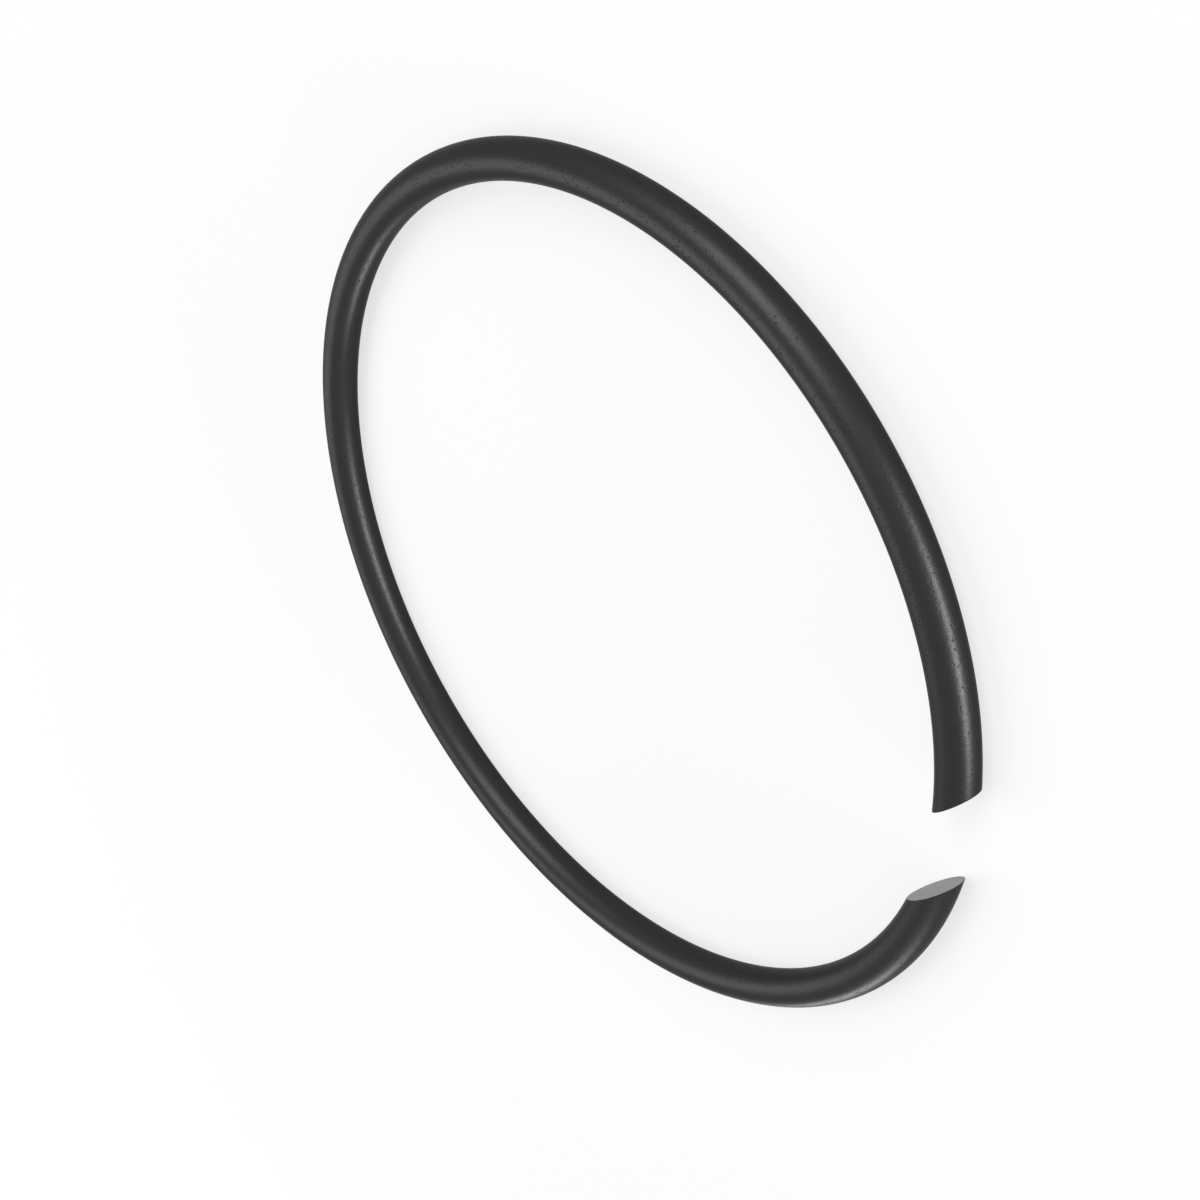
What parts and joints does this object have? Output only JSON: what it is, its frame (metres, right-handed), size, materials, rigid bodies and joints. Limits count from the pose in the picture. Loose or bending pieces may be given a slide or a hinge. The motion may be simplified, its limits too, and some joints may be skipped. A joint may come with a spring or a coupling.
{
  "type": "round-wire retaining ring",
  "caption": "Open retaining ring of round blackened spring wire, with a slanted gap between two bare, flat cut ends; springs into a groove to hold what lies against it.",
  "frame": {"origin": "centre of the ring on the mid-plane of its wire, which is the centre of the groove it seats in", "axes": "+Z along the ring's axis, +X from the centre through the middle of the gap, +Y completes the right-handed frame"},
  "size_m": [0.0469, 0.047, 0.002],
  "materials": {
    "blackened_steel": "satin"
  },
  "bodies": {
    "root": {"retaining_ring": "blackened_steel"}
  },
  "joints": []
}
